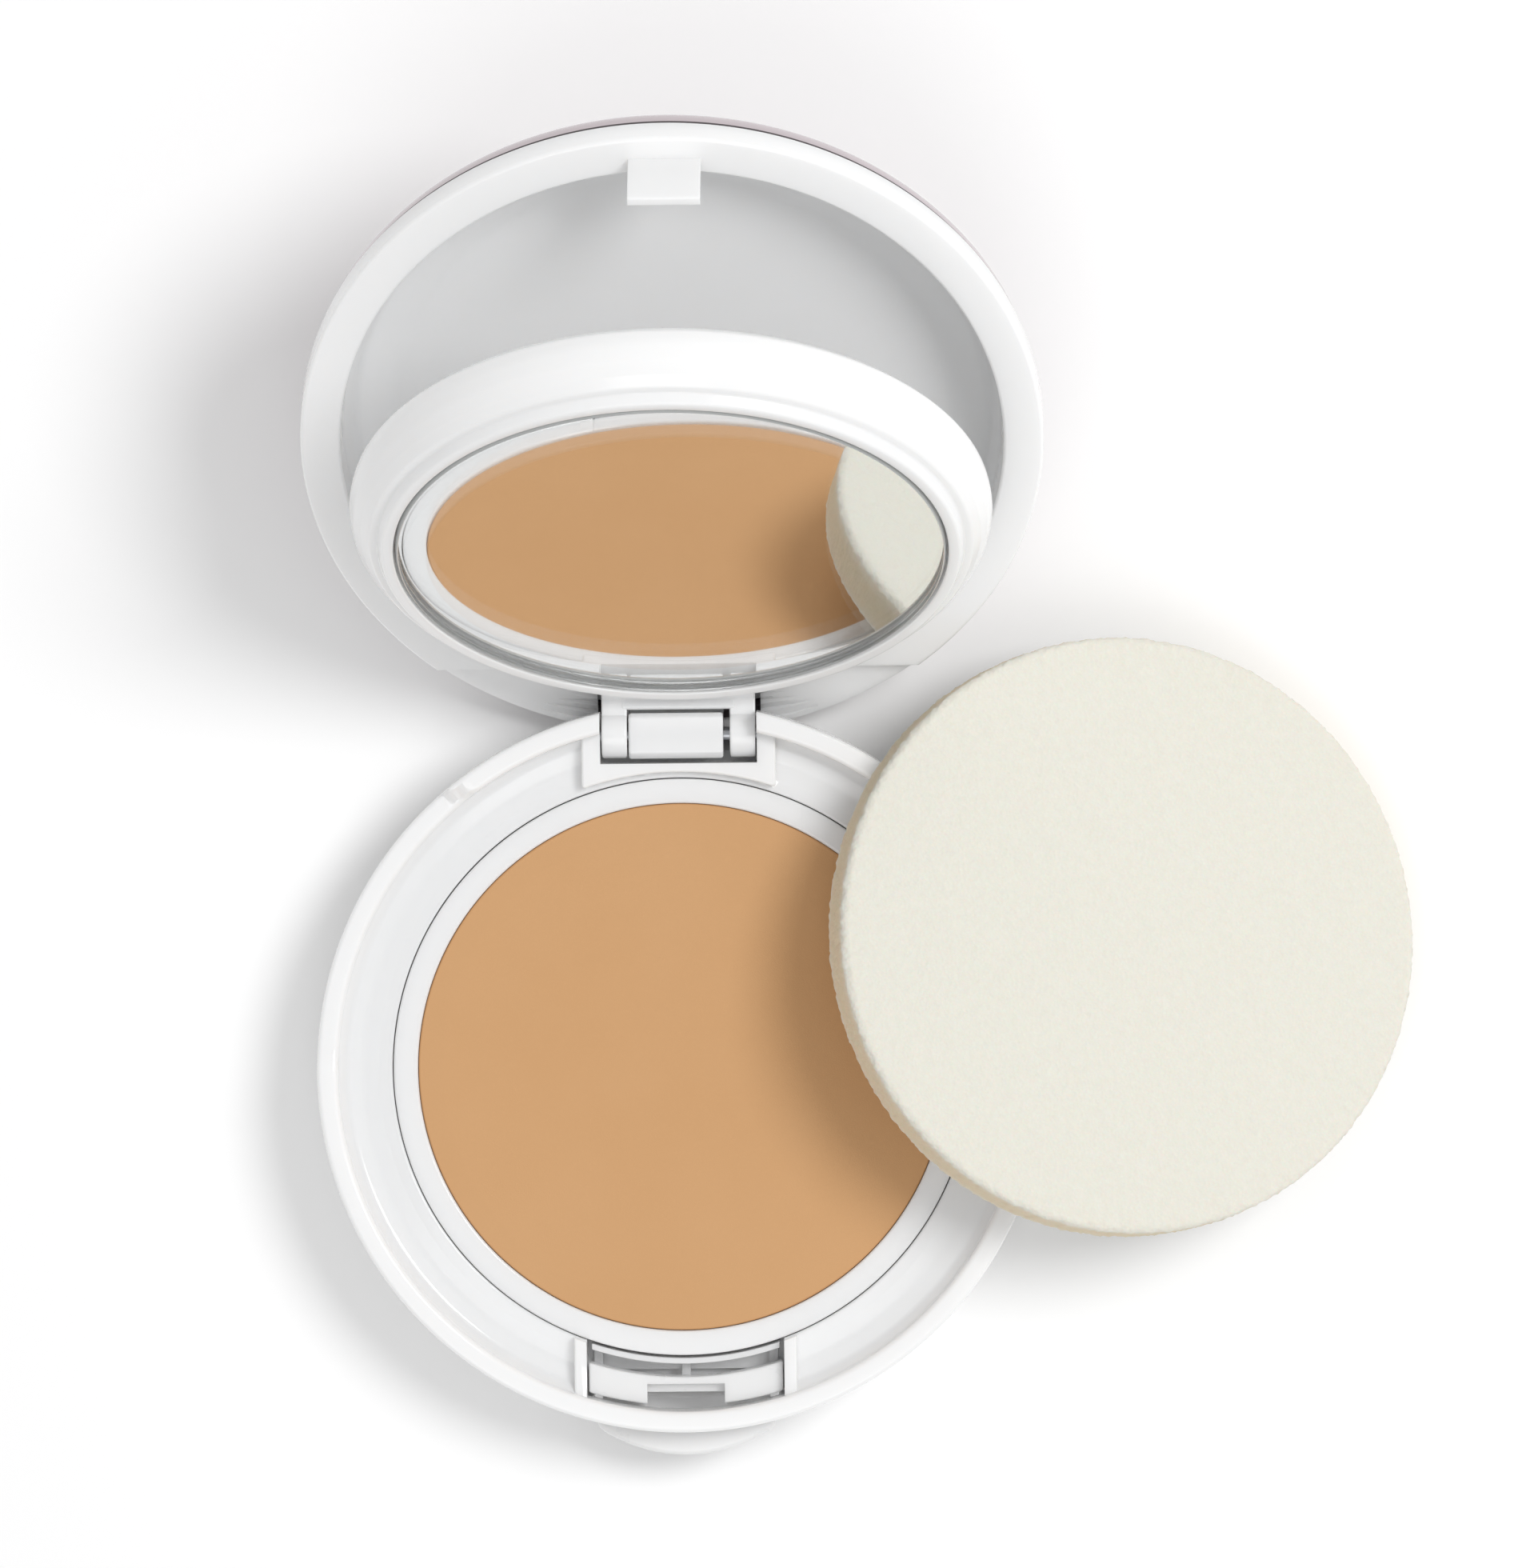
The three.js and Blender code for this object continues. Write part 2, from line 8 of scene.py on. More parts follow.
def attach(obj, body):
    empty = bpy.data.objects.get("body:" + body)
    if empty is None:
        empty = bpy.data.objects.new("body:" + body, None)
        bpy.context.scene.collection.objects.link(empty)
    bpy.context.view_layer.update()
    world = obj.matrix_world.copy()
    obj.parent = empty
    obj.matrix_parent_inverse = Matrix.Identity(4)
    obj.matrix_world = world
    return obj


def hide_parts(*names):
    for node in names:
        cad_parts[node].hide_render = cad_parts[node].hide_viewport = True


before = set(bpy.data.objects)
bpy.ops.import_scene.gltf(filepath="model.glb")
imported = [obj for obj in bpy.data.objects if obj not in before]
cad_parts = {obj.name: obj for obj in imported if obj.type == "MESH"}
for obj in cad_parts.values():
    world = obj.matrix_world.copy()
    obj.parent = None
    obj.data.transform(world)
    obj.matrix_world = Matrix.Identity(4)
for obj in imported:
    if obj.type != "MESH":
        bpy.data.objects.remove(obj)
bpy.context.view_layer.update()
mm = 0.001

# Shared sizes: every moulding is built round these.
# pinBack and pinZ place the hinge wire; lidOpen and flapOpen are degrees from shut.
case = dict(radius=38.0, height=12.2, foot=29.5, rimInner=35.9, pinBack=34.6, pinZ=9.0, ringTop=10.0,
            wellRadius=30.2, wellFloor=4.4, seamZ=9.4, wall=1.2, lidOpen=144.8, flapOpen=122.0, lidPlane=12.4)
wire = dict(radius=0.6, half=9.8, hole=0.7, holeHalf=12.6)


# Turns corners given as (a, b, radius) into arcs.
def rounded(points, arc=5):
    line = []
    count = len(points)
    for i, corner in enumerate(points):
        here = Vector(corner[:2])
        if len(corner) < 3:
            line.append(here)
            continue
        before = Vector(points[i - 1][:2]) - here
        after = Vector(points[(i + 1) % count][:2]) - here
        half = before.angle(after) / 2
        reach = min(corner[2] / math.tan(half), 0.49 * before.length, 0.49 * after.length)
        radius = reach * math.tan(half)
        middle = here + (before.normalized() + after.normalized()).normalized() * radius / math.sin(half)
        start = here + before.normalized() * reach - middle
        end = here + after.normalized() * reach - middle
        swing = start.angle(end)
        for k in range(arc + 1):
            t = k / arc
            spoke = start * math.sin((1 - t) * swing) + end * math.sin(t * swing)
            line.append(middle + spoke / math.sin(swing))
    return line


def toObject(name, mesh):
    bmesh.ops.remove_doubles(mesh, verts=mesh.verts, dist=0.002 * mm)
    bmesh.ops.recalc_face_normals(mesh, faces=mesh.faces)
    data = bpy.data.meshes.new(name)
    mesh.to_mesh(data)
    mesh.free()
    made = bpy.data.objects.new(name, data)
    bpy.context.scene.collection.objects.link(made)
    return made


# Body turned about Z from a profile of (radius, height, corner radius).
def spun(name, profile, steps=240, back=0.0, change=None):
    mesh = bmesh.new()
    line = rounded(profile)
    dots = [mesh.verts.new((p.x * mm, 0, p.y * mm)) for p in line]
    pairs = list(zip(dots, dots[1:]))
    if line[0].x > 0:
        pairs.append((dots[-1], dots[0]))
    edges = [mesh.edges.new(pair) for pair in pairs]
    bmesh.ops.spin(mesh, geom=dots + edges, cent=(0, 0, 0), axis=(0, 0, 1), angle=2 * math.pi,
                   steps=steps, use_merge=True)
    if change:
        for dot in mesh.verts:
            change(dot.co)
    bmesh.ops.translate(mesh, verts=mesh.verts, vec=(0, back * mm, 0))
    return toObject(name, mesh)


# Outline of (a, b, corner radius) run between two places along an axis, its end edges rounded.
def extruded(name, outline, reach, along, edge=0.0, segments=3):
    mesh = bmesh.new()
    low, high = reach
    place = {"X": lambda p: (low, p.x, p.y), "Z": lambda p: (p.x, p.y, low)}[along]
    face = mesh.faces.new([mesh.verts.new(Vector(place(p)) * mm) for p in rounded(outline)])
    grown = bmesh.ops.extrude_face_region(mesh, geom=[face])
    far = [part for part in grown["geom"] if isinstance(part, bmesh.types.BMVert)]
    move = Vector((high - low, 0, 0)) if along == "X" else Vector((0, 0, high - low))
    bmesh.ops.translate(mesh, verts=far, vec=move * mm)
    bmesh.ops.recalc_face_normals(mesh, faces=mesh.faces)
    if edge:
        sharp = [e for e in mesh.edges if e.calc_face_angle(0) > math.radians(35)]
        bmesh.ops.bevel(mesh, geom=sharp, offset=edge * mm, offset_type="OFFSET", segments=segments,
                        profile=0.5, affect="EDGES", clamp_overlap=True, material=-1)
    return toObject(name, mesh)


def block(x, y, z, edge=0.0):
    return extruded("block", [(x[0], y[0]), (x[1], y[0]), (x[1], y[1]), (x[0], y[1])], z, "Z", edge)


# Points on a circle's front, from -half to half across.
def arcPoints(radius, half, centre=0.0, steps=24):
    reach = math.asin(half / radius)
    angles = [reach * (2 * i / steps - 1) for i in range(steps + 1)]
    return [(radius * math.sin(a), centre - radius * math.cos(a)) for a in angles]


def aboutPin(radius, x, steps=64):
    circle = [(case["pinBack"] + radius * math.cos(2 * math.pi * i / steps),
               case["pinZ"] + radius * math.sin(2 * math.pi * i / steps)) for i in range(steps)]
    return extruded("rod", circle, x, "X")


# The hole for the hinge wire, right across every part that hangs on it.
def pinHole():
    return aboutPin(wire["hole"], (-wire["holeHalf"], wire["holeHalf"]))


# Turns a mesh about the hinge wire, by degrees of opening seen from the case.
def turnAboutPin(data, angle):
    pin = Matrix.Translation(Vector((0, case["pinBack"], case["pinZ"])) * mm)
    data.transform(pin @ Matrix.Rotation(math.radians(angle), 4, "X") @ pin.inverted())


# Cuts, joins or intersects two solids; the second one is used up.
def combine(made, tool, how="DIFFERENCE"):
    step = made.modifiers.new("combine", "BOOLEAN")
    step.operation = how
    step.solver = "MANIFOLD"
    step.object = tool
    bake(made)
    bpy.data.objects.remove(tool)
    return made


# Applies the modifiers of a piece to its mesh.
def bake(made):
    made.data = bpy.data.meshes.new_from_object(made.evaluated_get(bpy.context.evaluated_depsgraph_get()))
    made.modifiers.clear()


# Rounds the cut edges, smooths the faces and puts the piece on its body.
def finished(made, body, nodes, material, soften=0.0, opened=None, smooth=True):
    if opened:
        turnAboutPin(made.data, -opened)
    if soften:
        bevel = made.modifiers.new("soften", "BEVEL")
        bevel.width = soften * mm
        bevel.segments = 2
        bevel.limit_method = "ANGLE"
        bevel.angle_limit = math.radians(40)
    for face in made.data.polygons:
        face.use_smooth = smooth
    if smooth:
        weighted = made.modifiers.new("normals", "WEIGHTED_NORMAL")
        weighted.keep_sharp = True
        weighted.weight = 60
    bake(made)
    made.data.materials.clear()
    made.data.materials.append(material)
    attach(made, body)
    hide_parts(*nodes)
    print(made.name, len(made.data.polygons), "faces")
    return made


# A hex sRGB colour as linear RGBA.
def linear(code):
    values = [int(code[i:i + 2], 16) / 255 for i in (0, 2, 4)]
    return [v / 12.92 if v <= 0.04045 else ((v + 0.055) / 1.055) ** 2.4 for v in values] + [1.0]


# A new node with its settings; an input given as a socket is linked.
def add(tree, kind, inputs=None, **settings):
    node = tree.nodes.new(kind)
    for name, value in settings.items():
        setattr(node, name, value)
    for name, value in (inputs or {}).items():
        if isinstance(value, bpy.types.NodeSocket):
            tree.links.new(value, node.inputs[name])
        else:
            node.inputs[name].default_value = value
    return node


def newMaterial(name, **values):
    material = bpy.data.materials.new(name)
    material.use_nodes = True
    shader = material.node_tree.nodes["Principled BSDF"]
    for key, value in values.items():
        shader.inputs[key.replace("_", " ")].default_value = value
    return material, material.node_tree, shader


# Polished injection moulding: clean highlights that waver a little where the melt flowed, and a soft
# depth at thin edges. The waves are 9 mm and the haze in the polish 3 mm, coarse enough to show.
def mouldedPlastic(name, colour, roughness):
    material, tree, shader = newMaterial(name, Base_Color=linear(colour), IOR=1.49, Subsurface_Weight=0.5,
                                         Subsurface_Scale=3.0 * mm, Subsurface_Radius=(1.0, 0.95, 0.9))
    place = add(tree, "ShaderNodeTexCoord").outputs["Object"]
    wave = add(tree, "ShaderNodeTexNoise", {"Vector": place, "Scale": 1 / (9 * mm), "Detail": 1.0})
    haze = add(tree, "ShaderNodeTexNoise", {"Vector": place, "Scale": 1 / (3 * mm), "Detail": 4.0})
    polish = add(tree, "ShaderNodeMapRange", {"Value": haze.outputs["Fac"], "To Min": roughness * 0.85,
                                              "To Max": roughness * 1.2})
    tree.links.new(polish.outputs["Result"], shader.inputs["Roughness"])
    bump = add(tree, "ShaderNodeBump", {"Height": wave.outputs["Fac"], "Strength": 0.12,
                                        "Distance": 0.05 * mm})
    tree.links.new(bump.outputs["Normal"], shader.inputs["Normal"])
    return material


# White ABS from a polished mould for the casing, acetal for the button, which has a duller skin.
whitePlastic = mouldedPlastic("abs_white_polished_moulding", "F0F0F0", 0.13)
buttonPlastic = mouldedPlastic("acetal_white_moulding", "E8E8E8", 0.28)

# Pearl pigment in the cover's ABS: a silky mauve sheen under a clear, glossy skin.
coverPlastic = mouldedPlastic("abs_pearl_mauve_polished_moulding", "B9ADB1", 0.22)
coverShader = coverPlastic.node_tree.nodes["Principled BSDF"]
for name, value in (("Subsurface Weight", 0.0), ("Metallic", 0.25), ("Coat Weight", 0.6)):
    coverShader.inputs[name].default_value = value

# Dark grey for the cover's inner faces and the lowest strip of its edge: bare ABS inside, and painted shade
# that makes the joint with the lid read as a thin dark line.
coverCoreAndGapShade, _, _ = newMaterial("abs_grey_core_and_painted_gap_shade", Base_Color=linear("4A4446"), Roughness=0.6)


# Pressed cosmetic powder: flat and matte, with slow changes of tone. Real grain is about 0.02 mm and
# is drawn at 0.16 mm so that it shows.
def pressedPowder():
    material, tree, shader = newMaterial("cosmetic_powder_pressed", Roughness=1.0, IOR=1.2,
                                         Specular_IOR_Level=0.2)
    place = add(tree, "ShaderNodeTexCoord").outputs["Object"]
    grain = add(tree, "ShaderNodeTexNoise", {"Vector": place, "Scale": 1 / (0.16 * mm), "Detail": 3.0})
    cloud = add(tree, "ShaderNodeTexNoise", {"Vector": place, "Scale": 1 / (14 * mm), "Detail": 3.0})
    tone = add(tree, "ShaderNodeMix", {"Factor": cloud.outputs["Fac"], "A": linear("C99C6F"),
                                       "B": linear("CFA377")}, data_type="RGBA")
    tree.links.new(tone.outputs["Result"], shader.inputs["Base Color"])
    bump = add(tree, "ShaderNodeBump", {"Height": grain.outputs["Fac"], "Strength": 0.35,
                                        "Distance": 0.05 * mm})
    tree.links.new(bump.outputs["Normal"], shader.inputs["Normal"])
    return material


powder = pressedPowder()
# Drawn steel wire, bright with soft highlights, and duller pressed aluminium for the pan.
steel, _, _ = newMaterial("steel_wire_drawn", Base_Color=linear("B4B6BA"), Metallic=1.0, Roughness=0.3)
aluminium, _, _ = newMaterial("aluminium_sheet_pressed", Base_Color=linear("C9CCCE"), Metallic=1.0,
                              Roughness=0.35)
# Hidden tape: matte and cream. The blank label is coated paper with a faint gloss.
foamTape, _, _ = newMaterial("acrylic_foam_tape_cut", Base_Color=linear("E0DCCB"), Roughness=0.8)
paperLabel, _, _ = newMaterial("paper_label_coated", Base_Color=linear("E8E8EA"), Roughness=0.55)
# Polished float glass is clear and sharp. Its ground edge is frosted and catches a pale line of light.
glass, _, _ = newMaterial("float_glass_polished", Base_Color=linear("FEFEFE"), Roughness=0.0, IOR=1.52,
                          Transmission_Weight=1.0)
groundGlass, _, _ = newMaterial("float_glass_ground_edge", Base_Color=linear("F2F5F4"), Roughness=0.3,
                                IOR=1.52, Transmission_Weight=0.55)
# Silver laid on the back of the glass: the reflection itself, almost without haze.
silver, _, _ = newMaterial("silver_coating_deposited", Base_Color=linear("F7F8F8"), Metallic=1.0,
                           Roughness=0.01)


# Fine-celled latex foam: soft and matte, with a darker tan tint on its side wall. Real cells are about
# 0.1 mm and are drawn at 0.42 mm so that they show.
def latexFoam():
    material, tree, shader = newMaterial("latex_foam_cast", Roughness=1.0, IOR=1.3, Subsurface_Weight=0.15,
                                         Subsurface_Scale=2 * mm, Sheen_Weight=0.08, Sheen_Roughness=0.6)
    place = add(tree, "ShaderNodeTexCoord").outputs["Object"]
    pores = add(tree, "ShaderNodeTexVoronoi", {"Vector": place, "Scale": 1 / (0.42 * mm), "Randomness": 1.0})
    fuzz = add(tree, "ShaderNodeTexNoise", {"Vector": place, "Scale": 1 / (0.9 * mm), "Detail": 6.0,
                                            "Roughness": 0.7})
    edge = add(tree, "ShaderNodeAttribute", attribute_name="sideTint").outputs["Fac"]
    face = add(tree, "ShaderNodeMix", {"Factor": fuzz.outputs["Fac"], "A": linear("D9D7CB"),
                                       "B": linear("E4E2D8")}, data_type="RGBA")
    both = add(tree, "ShaderNodeMix", {"Factor": edge, "A": face.outputs["Result"], "B": linear("DCCEB3")},
               data_type="RGBA")
    tree.links.new(both.outputs["Result"], shader.inputs["Base Color"])
    height = add(tree, "ShaderNodeMix", {"Factor": 0.55, "A": pores.outputs["Distance"],
                                         "B": fuzz.outputs["Fac"]})
    bump = add(tree, "ShaderNodeBump", {"Height": height.outputs["Result"], "Strength": 0.8,
                                        "Distance": 0.16 * mm})
    tree.links.new(bump.outputs["Normal"], shader.inputs["Normal"])
    return material


foam = latexFoam()

print("base")
rim = dict(lift=1.1, dip=0.5, dipFrom=2.0, dipTo=52.0, ramp=3.5, raisedFrom=28.55, raisedRamp=0.8)
pocket = dict(half=8.15, front=31.75, floor=6.3, blockHalf=10.1, blockTop=11.3, blockFront=30.85)
latch = dict(half=10.3, rib=1.3, floor=4.9, shelf=6.3, windowHalf=9.65)


# Smooth step from 0 to 1.
def ease(value):
    value = max(0.0, min(1.0, value))
    return value * value * (3 - 2 * value)


# Raises the rim beside the hinge and lowers it a little along both sides.
def shapeRim(co):
    if co.z < (case["height"] - 1.0) * mm:
        return
    angle = math.degrees(math.atan2(co.y, abs(co.x)))
    lowered = (ease((angle - rim["dipFrom"]) / rim["ramp"] + 0.5)
               * ease((rim["dipTo"] - angle) / rim["ramp"] + 0.5))
    raised = ease((co.y / mm - rim["raisedFrom"]) / rim["raisedRamp"])
    share = ease((co.z / mm - case["height"] + 1.0) / 0.5)
    co.z += (rim["lift"] * raised - rim["dip"] * lowered * (1 - raised)) * share * mm


# The room inside the lower bowl, which everything below the rim has to stay within.
def bowlInside(gap):
    inner = case["radius"] - case["wall"] - gap
    return spun("inside", [(0, 1.4 + gap), (28, 1.4 + gap), (inner - 2.9, 2.0 + gap), (inner - 0.7, 4.0),
                           (inner - 0.5, 6.4), (inner, case["seamZ"]), (inner, 15), (0, 15)], 120)


# The hinge pocket and the sloped slot below it.
def rearSlot():
    slot = block((-pocket["half"], pocket["half"]), (pocket["front"], 44), (pocket["floor"], 18))
    slope = extruded("slope", [(32.8, 6.31), (36.0, 1.6), (44, 1.6), (44, 18), (32.8, 18)], (-5.25, 5.25),
                     "X")
    return combine(slot, slope, "UNION")


def padWindow():
    return block((-latch["windowHalf"], latch["windowHalf"]), (-44, -33.7), (2.6, 8.5), 0.2)


# Rim, deck and well in one turned moulding, with the hinge block and the latch pit joined to it.
def makeTray():
    r, well, top = case["radius"], case["wellRadius"], case["ringTop"]
    tray = spun("tray_moulding", [
        (0, 3.2), (31.4, 3.2, 0.3), (31.4, 8.6, 0.2), (35.1, 8.6, 0.3), (35.2, 7.0, 0.1), (36.0, 7.0, 0.1),
        (36.0, 9.7, 0.05), (r, 9.7, 0.15), (r, case["height"], 0.5), (case["rimInner"], case["height"], 0.55),
        (35.75, 10.9, 0.8), (34.9, 9.95, 1.0), (33.2, 9.62, 3.0), (31.6, 9.75, 1.5), (well, top, 0.25),
        (well, case["wellFloor"], 0.3), (0, case["wellFloor"])], 480, change=shapeRim)
    half, front = pocket["blockHalf"], pocket["blockFront"]
    curve = [(-x, -y) for x, y in arcPoints(front, half)]
    outline = [(-half, 38.5), (half, 38.5), (*curve[0], 1.0), *curve[1:-1], (*curve[-1], 1.0)]
    hinge = extruded("hinge_block", outline, (3.6, pocket["blockTop"]), "Z", 0.35)
    combine(hinge, bowlInside(0.3), "INTERSECT")
    outer = latch["half"] + latch["rib"]
    pit = block((-outer, outer), (-38, -26.8), (3.7, top + 1.1), 0.25)
    for tool in (bowlInside(0.3), spun("well", [(0, 0), (30.4, 0), (30.4, 16), (0, 16)], 480)):
        combine(pit, tool, "INTERSECT" if tool.name.startswith("inside") else "DIFFERENCE")
    combine(tray, hinge, "UNION")
    combine(tray, pit, "UNION")
    hollow = block((-latch["half"], latch["half"]), (-39, -26.8), (latch["floor"], 12.1))
    combine(hollow, spun("band", [(well - 0.01, 0), (case["rimInner"] - 0.1, 0), (case["rimInner"] - 0.1, 14),
                                  (well - 0.01, 14)], 480), "INTERSECT")
    for tool in (hollow, rearSlot(), padWindow(), pinHole()):
        combine(tray, tool)
    shelfHalf = latch["half"] + 0.3
    combine(tray, block((-shelfHalf, shelfHalf), (-31.9, -28.2), (4.0, latch["shelf"])), "UNION")
    combine(tray, spun("well", [(0, case["wellFloor"]), (well, case["wellFloor"]), (well, 16), (0, 16)], 480))
    return finished(tray, "base", ["base_tray"], whitePlastic, 0.18)


# Lower bowl, standing on a flat foot with a shallow recess for the label.
def makeShell():
    foot, steps = case["foot"], 24
    outer = [(foot + (case["radius"] - foot) * math.sin(a), case["seamZ"] * (1 - math.cos(a)))
             for a in [math.radians(90 * i / steps) for i in range(1, steps + 1)]]
    shell = spun("base_moulding", [
        (0, 0.4), (22.25, 0.4), (22.25, 0.0, 0.1), (foot, 0.0), *outer,
        (36.8, case["seamZ"]), (36.3, 6.4, 1), (35.2, 4.0, 1), (32.7, 2.1, 2), (28, 1.5, 3), (0, 1.4)], 360)
    for tool in (rearSlot(), padWindow()):
        combine(shell, tool)
    return finished(shell, "base", ["base_shell"], whitePlastic, 0.15)


makeTray()
makeShell()
ring = dict(outer=30.1, inner=27.55, under=4.65, floor=5.45)
panRing = spun("pan_ring", [
    (0, ring["under"]), (ring["outer"], ring["under"], 0.3), (ring["outer"], case["ringTop"], 0.25),
    (ring["inner"], case["ringTop"], 0.3), (ring["inner"], ring["floor"], 0.2), (0, ring["floor"])], 360)
finished(panRing, "base", ["pan_holder"], whitePlastic)

print("make-up")
cake = dict(radius=27.51, top=9.78, crown=0.12, brink=0.3)


def makeCake():
    top, r = cake["top"], cake["radius"]
    made = spun("powder_cake", [
        (0, 6.3), (26.6, 6.3, 0.2), (26.85, 9.15), (r, 9.15), (r, top - 0.15, cake["brink"]),
        (r - 2.5, top, 6), (r / 2, top + cake["crown"] * 0.8, 40), (0, top + cake["crown"])], 360)
    return finished(made, "base", ["makeup_cake"], powder)


makeCake()
wireRod = aboutPin(wire["radius"], (-wire["half"], wire["half"]))
finished(wireRod, "base", ["hinge_pin"], steel, 0.1).name = "hinge_wire"
label = dict(radius=22, thick=0.3)
underside = spun("underside_label", [
    (0, 0), (label["radius"], 0, 0.05), (label["radius"], label["thick"], 0.05), (0, label["thick"])], 240)
finished(underside, "base", ["base_label"], paperLabel)

print("latch")
bar = dict(inner=32.4, outer=35.4, low=7.3, high=9.9, half=10.12, notchHalf=4.05, footFrom=4.25, footTo=8.75)
pad = dict(radius=16.2, front=40.8, half=9.25, back=36.75, low=2.9, high=7.9, edge=0.6)
leaf = dict(outer=31.05, inner=30.45, half=9.8, low=6.4, high=9.4, footTop=7.0)


# Arched bar with the catch notch, two stops below it and the thumb pad outside the case.
def makeButton():
    outline = arcPoints(bar["outer"], bar["half"]) + arcPoints(bar["inner"], bar["half"])[::-1]
    made = extruded("push_button", outline, (bar["low"], bar["high"]), "Z", 0.25)
    for side in (-1, 1):
        x = sorted((side * bar["footFrom"], side * bar["footTo"]))
        combine(made, block(x, (-37.4, -33.2), (5.7, 7.6)), "UNION")
    front = arcPoints(pad["radius"], pad["half"], pad["radius"] - pad["front"])
    thumb = extruded("thumb", front + [(pad["half"], -pad["back"]), (-pad["half"], -pad["back"])],
                     (pad["low"], pad["high"]), "Z", pad["edge"], 4)
    combine(made, thumb, "UNION")
    notch = (-bar["notchHalf"], bar["notchHalf"])
    combine(made, block(notch, (-38, -33.1), (8.6, 13)))
    combine(made, block(notch, (-36.75, -34.05), (0, 12.2)))
    return finished(made, "button", ["latch_button"], buttonPlastic, 0.12)


# Curved leaf behind the button, on two feet at its ends and with a nib in the middle.
def makeSpring():
    outline = arcPoints(leaf["outer"], leaf["half"]) + arcPoints(leaf["inner"], leaf["half"])[::-1]
    made = extruded("button_leaf", outline, (leaf["low"], leaf["high"]), "Z", 0.1)
    footY, nibY = (-32.0, -29.6), (-33.0, -30.8)
    for x, y in (((-9.6, -8.7), footY), ((-0.45, 0.45), nibY), ((8.7, 9.6), footY)):
        combine(made, block(x, y, (leaf["low"], leaf["footTop"])), "UNION")
    return finished(made, "base", ["button_spring"], buttonPlastic, 0.05)


makeButton()
makeSpring()

print("lid")
# The dome's lowest edge strip, up to this height, is coloured dark as painted shade at the joint.
dome = dict(base=15.5, radius=37.7, rise=7.2, power=2.8, wall=1.0, shadeStrip=0.36)
# swingAngles are the degrees of opening at which the lid is cut back to clear the case.
lid = dict(bowlDepth=6.4, gap=0.3, rimInner=33.9, notch=7.1, notchHalf=8.5, rimTop=13.6, swingHalf=14.5,
           swingAngles=(12, 24, 36, 48, 109, 127))
hook = dict(tip=5.5, face=-34.6, thick=0.9, half=3.65)
arms = dict(reach=(-5.2, 4.65), earInner=5.35, earOuter=8.0, earRadius=2.35, plateHalf=5.85)


# Half section of the dome, from its top to its rim.
def domeLine(inset, steps=28):
    line = []
    for i in range(steps + 1):
        share = math.sin(math.radians(90 * i / steps)) ** 0.8
        height = (1 - share ** dome["power"]) ** (1 / dome["power"])
        line.append(((dome["radius"] - inset) * share, dome["base"] + (dome["rise"] - inset) * height))
    return line


# Pearl dome; its inner faces and the lowest strip of its edge take the dark grey, partly the bare inside and
# partly painted shade for the joint line.
def makeCover():
    skirt = [(dome["radius"] - 0.01, dome["base"] + dome["shadeStrip"]), (dome["radius"], dome["base"])]
    made = spun("lid_dome", domeLine(0)[:-1] + skirt + domeLine(dome["wall"])[::-1], 360)
    finished(made, "lid", ["lid_cover"], coverPlastic, 0.1, case["lidOpen"])
    made.data.materials.append(coverCoreAndGapShade)
    pin = Vector((0, case["pinBack"], case["pinZ"])) * mm
    shut = Matrix.Rotation(math.radians(case["lidOpen"]), 3, "X")
    for side in made.data.polygons:
        at = (shut @ (side.center - pin) + pin) / mm
        out = math.hypot(at.x, at.y) / (dome["radius"] - 0.5 * dome["wall"])
        rise = max(0, 1 - out ** dome["power"]) ** (1 / dome["power"])
        inner = dome["base"] + (dome["rise"] - 0.5 * dome["wall"]) * rise
        # Faces inside the dome and in the lowest edge strip get the dark grey: painted shade at the joint
        # with the lid.
        side.material_index = 1 if at.z < dome["base"] + dome["shadeStrip"] * 0.9 or at.z < inner else 0
    return made


# The rear of the case as the lid sees it once it has opened by an angle, with a gap.
def caseFromLid(angle):
    bowl = spun("swing", [
        (0, -0.3), (case["foot"], -0.3), (32.7, 0.4), (34.9, 1.7), (36.7, 3.7), (37.8, 6.1), (38.3, 9.1),
        (38.3, lid["rimTop"]), (35.6, lid["rimTop"]), (35.6, 12.35), (0, 12.35)], 240)
    combine(bowl, block((-lid["swingHalf"], lid["swingHalf"]), (26.6, 40), (-1, lid["rimTop"])), "INTERSECT")
    turnAboutPin(bowl.data, angle)
    return bowl


def makeLid():
    plane, r, inner = case["lidPlane"], case["radius"], lid["rimInner"]
    top, under, back = plane + lid["bowlDepth"], dome["wall"] + lid["gap"], dome["base"] - lid["gap"]
    made = spun("lid_moulding", [
        *domeLine(under)[:-3], (dome["radius"] - under, back), (r, back, 0.15), (r, plane, 0.4),
        (inner, plane, 0.35), (inner - 0.15, top - 3.0, 2.5), (inner - 1.3, top - 0.9, 1.6),
        (inner - 5.4, top, 5), (0, top)], 360)
    overRim = block((-39, 39), (0, 42), (0, lid["rimTop"]))
    combine(made, combine(aboutPin(lid["notch"], (-r, r)), overRim, "INTERSECT"))
    combine(made, aboutPin(lid["notch"], (-lid["notchHalf"], lid["notchHalf"])))
    for angle in (*lid["swingAngles"], case["lidOpen"]):
        combine(made, caseFromLid(angle))
    combine(made, makeArm(), "UNION")
    combine(made, makeHook(), "UNION")
    combine(made, pinHole())
    return finished(made, "lid", ["lid_inner"], whitePlastic, 0.16, case["lidOpen"])


